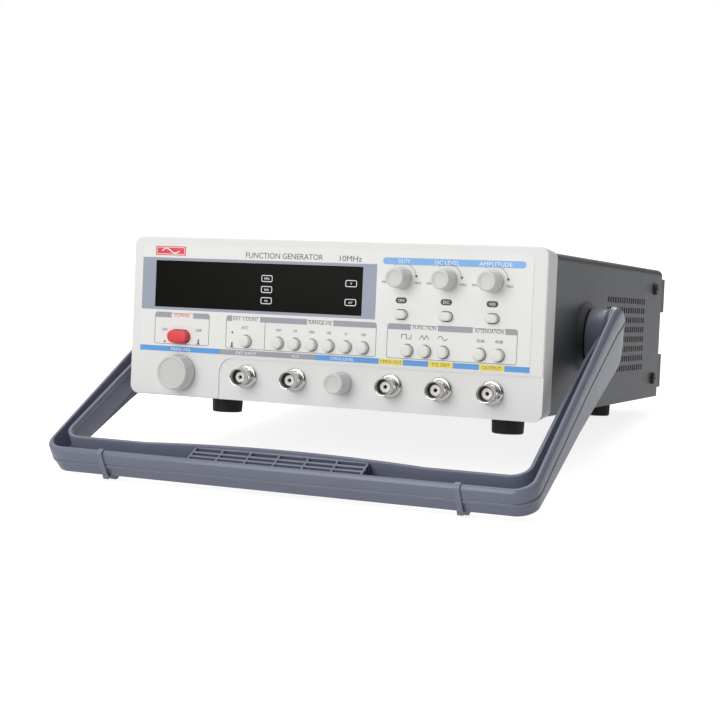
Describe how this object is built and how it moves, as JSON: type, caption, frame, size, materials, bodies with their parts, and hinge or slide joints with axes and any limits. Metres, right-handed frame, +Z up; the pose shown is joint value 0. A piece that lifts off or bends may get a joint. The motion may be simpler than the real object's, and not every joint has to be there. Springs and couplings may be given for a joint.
{
  "type": "function generator",
  "caption": "Bench function generator with display window, push buttons, knobs, coaxial jacks and a swing handle that props up its front.",
  "frame": {"origin": "middle of the instrument's footprint on the surface that it stands on, propped on its handle", "axes": "+X to the user's right, +Y from the front panel towards the rear, +Z up; the case itself is tipped up 6.15 degrees about X"},
  "size_m": [0.2716, 0.3588, 0.1248],
  "materials": {
    "bezel_plastic": "light grey moulded plastic, fine texture",
    "overlay_print": "printed membrane, satin",
    "window_tint": "dark tinted acrylic, polished",
    "case_paint": "grey powder coat, fine texture",
    "zinc_steel": "zinc plated sheet",
    "black_rubber": "matte",
    "bumper_plastic": "black moulded plastic",
    "black_screw": "black oxide",
    "handle_plastic": "blue-grey moulded plastic, satin",
    "red_button": "satin red",
    "button_plastic": "light grey satin",
    "knob_plastic": "light grey satin",
    "nickel": "bright nickel plate",
    "ptfe": "white dielectric",
    "gold_contact": "gold flash",
    "circuit_board": "green solder mask",
    "digit_plastic": "dark segment module",
    "core_steel": "laminated steel",
    "coil_tape": "wound coil under tape",
    "heat_sink_aluminium": "extruded, clear anodised",
    "capacitor_sleeve": "shrink sleeve",
    "switch_plastic": "black switch housing",
    "pot_metal": "plated housing"
  },
  "bodies": {
    "root": {"front_bezel": "bezel_plastic", "front_overlay": "overlay_print", "display_window": "window_tint", "sub_panel": "zinc_steel", "top_cover": "case_paint", "bottom_tray": "case_paint", "rear_panel": "case_paint", "rear_bumpers": "bumper_plastic", "rubber_feet": "black_rubber", "foot_screws": "black_screw", "cover_screws": "black_screw", "pivot_plates": "bumper_plastic", "pivot_bolts": "black_screw", "main_board": "circuit_board", "display_board": "circuit_board", "display_digits": "digit_plastic", "transformer_core": "core_steel", "transformer_coil": "coil_tape", "heat_sink": "heat_sink_aluminium", "capacitors": "capacitor_sleeve", "board_posts": "zinc_steel", "board_screws": "zinc_steel", "mains_inlet": "bumper_plastic", "bnc_shells": "nickel", "bnc_insulators": "ptfe", "bnc_contacts": "gold_contact", "bnc_nuts": "nickel", "pot_bodies": "pot_metal", "push_switches": "switch_plastic", "power_switch": "switch_plastic"},
    "handle": {"handle_frame": "handle_plastic", "handle_collars": "handle_plastic", "pivot_caps": "handle_plastic"},
    "fuse_drawer": {"fuse_drawer": "bumper_plastic"},
    "knob_frequency": {"knob_frequency": "knob_plastic", "frequency_shaft": "pot_metal"},
    "knob_duty": {"knob_duty": "knob_plastic"},
    "knob_dc_level": {"knob_dc_level": "knob_plastic"},
    "knob_amplitude": {"knob_amplitude": "knob_plastic"},
    "knob_cmos_level": {"knob_cmos_level": "knob_plastic"},
    "button_power": {"button_power": "red_button"},
    "button_duty": {"button_duty": "button_plastic"},
    "button_offset": {"button_offset": "button_plastic"},
    "button_wide": {"button_wide": "button_plastic"},
    "button_ext": {"button_ext": "button_plastic"},
    "button_range_10m": {"button_range_10m": "button_plastic"},
    "button_range_1m": {"button_range_1m": "button_plastic"},
    "button_range_100k": {"button_range_100k": "button_plastic"},
    "button_range_10k": {"button_range_10k": "button_plastic"},
    "button_range_1k": {"button_range_1k": "button_plastic"},
    "button_range_100": {"button_range_100": "button_plastic"},
    "button_square": {"button_square": "button_plastic"},
    "button_triangle": {"button_triangle": "button_plastic"},
    "button_sine": {"button_sine": "button_plastic"},
    "button_20db": {"button_20db": "button_plastic"},
    "button_40db": {"button_40db": "button_plastic"}
  },
  "joints": [
    {"name": "handle_swing", "type": "hinge", "parent": "root", "child": "handle", "pos_m": [0, -0.02333, 0.06951], "axis": [-1, 0, 0], "range_deg": [-120, 185]},
    {"name": "fuse_drawer_slide", "type": "slide", "parent": "root", "child": "fuse_drawer", "axis": [0, 0.9942, -0.1072], "range_m": [0, 0.018]},
    {"name": "knob_frequency_turn", "type": "hinge", "parent": "root", "child": "knob_frequency", "pos_m": [-0.0882, -0.11983, 0.05135], "axis": [0, 0.9942, -0.1072], "range_deg": [-150, 150]},
    {"name": "knob_duty_turn", "type": "hinge", "parent": "root", "child": "knob_duty", "pos_m": [0.042, -0.11381, 0.10723], "axis": [0, 0.9942, -0.1072], "range_deg": [-150, 150]},
    {"name": "knob_dc_level_turn", "type": "hinge", "parent": "root", "child": "knob_dc_level", "pos_m": [0.0668, -0.11381, 0.10723], "axis": [0, 0.9942, -0.1072], "range_deg": [-150, 150]},
    {"name": "knob_amplitude_turn", "type": "hinge", "parent": "root", "child": "knob_amplitude", "pos_m": [0.0915, -0.11381, 0.10723], "axis": [0, 0.9942, -0.1072], "range_deg": [-150, 150]},
    {"name": "knob_cmos_level_turn", "type": "hinge", "parent": "root", "child": "knob_cmos_level", "pos_m": [0.0098, -0.11984, 0.05125], "axis": [0, 0.9942, -0.1072], "range_deg": [-150, 150]},
    {"name": "button_power_press", "type": "slide", "parent": "root", "child": "button_power", "axis": [0, 0.9942, -0.1072], "range_m": [0, 0.003], "stiffness_N_per_m": 900, "springref_m": -0.001},
    {"name": "button_duty_press", "type": "slide", "parent": "root", "child": "button_duty", "axis": [0, 0.9942, -0.1072], "range_m": [0, 0.0025], "stiffness_N_per_m": 600, "springref_m": -0.001},
    {"name": "button_offset_press", "type": "slide", "parent": "root", "child": "button_offset", "axis": [0, 0.9942, -0.1072], "range_m": [0, 0.0025], "stiffness_N_per_m": 600, "springref_m": -0.001},
    {"name": "button_wide_press", "type": "slide", "parent": "root", "child": "button_wide", "axis": [0, 0.9942, -0.1072], "range_m": [0, 0.0025], "stiffness_N_per_m": 600, "springref_m": -0.001},
    {"name": "button_ext_press", "type": "slide", "parent": "root", "child": "button_ext", "axis": [0, 0.9942, -0.1072], "range_m": [0, 0.0025], "stiffness_N_per_m": 600, "springref_m": -0.001},
    {"name": "button_range_10m_press", "type": "slide", "parent": "root", "child": "button_range_10m", "axis": [0, 0.9942, -0.1072], "range_m": [0, 0.0025], "stiffness_N_per_m": 600, "springref_m": -0.001},
    {"name": "button_range_1m_press", "type": "slide", "parent": "root", "child": "button_range_1m", "axis": [0, 0.9942, -0.1072], "range_m": [0, 0.0025], "stiffness_N_per_m": 600, "springref_m": -0.001},
    {"name": "button_range_100k_press", "type": "slide", "parent": "root", "child": "button_range_100k", "axis": [0, 0.9942, -0.1072], "range_m": [0, 0.0025], "stiffness_N_per_m": 600, "springref_m": -0.001},
    {"name": "button_range_10k_press", "type": "slide", "parent": "root", "child": "button_range_10k", "axis": [0, 0.9942, -0.1072], "range_m": [0, 0.0025], "stiffness_N_per_m": 600, "springref_m": -0.001},
    {"name": "button_range_1k_press", "type": "slide", "parent": "root", "child": "button_range_1k", "axis": [0, 0.9942, -0.1072], "range_m": [0, 0.0025], "stiffness_N_per_m": 600, "springref_m": -0.001},
    {"name": "button_range_100_press", "type": "slide", "parent": "root", "child": "button_range_100", "axis": [0, 0.9942, -0.1072], "range_m": [0, 0.0025], "stiffness_N_per_m": 600, "springref_m": -0.001},
    {"name": "button_square_press", "type": "slide", "parent": "root", "child": "button_square", "axis": [0, 0.9942, -0.1072], "range_m": [0, 0.0025], "stiffness_N_per_m": 600, "springref_m": -0.001},
    {"name": "button_triangle_press", "type": "slide", "parent": "root", "child": "button_triangle", "axis": [0, 0.9942, -0.1072], "range_m": [0, 0.0025], "stiffness_N_per_m": 600, "springref_m": -0.001},
    {"name": "button_sine_press", "type": "slide", "parent": "root", "child": "button_sine", "axis": [0, 0.9942, -0.1072], "range_m": [0, 0.0025], "stiffness_N_per_m": 600, "springref_m": -0.001},
    {"name": "button_20db_press", "type": "slide", "parent": "root", "child": "button_20db", "axis": [0, 0.9942, -0.1072], "range_m": [0, 0.0025], "stiffness_N_per_m": 600, "springref_m": -0.001},
    {"name": "button_40db_press", "type": "slide", "parent": "root", "child": "button_40db", "axis": [0, 0.9942, -0.1072], "range_m": [0, 0.0025], "stiffness_N_per_m": 600, "springref_m": -0.001}
  ]
}
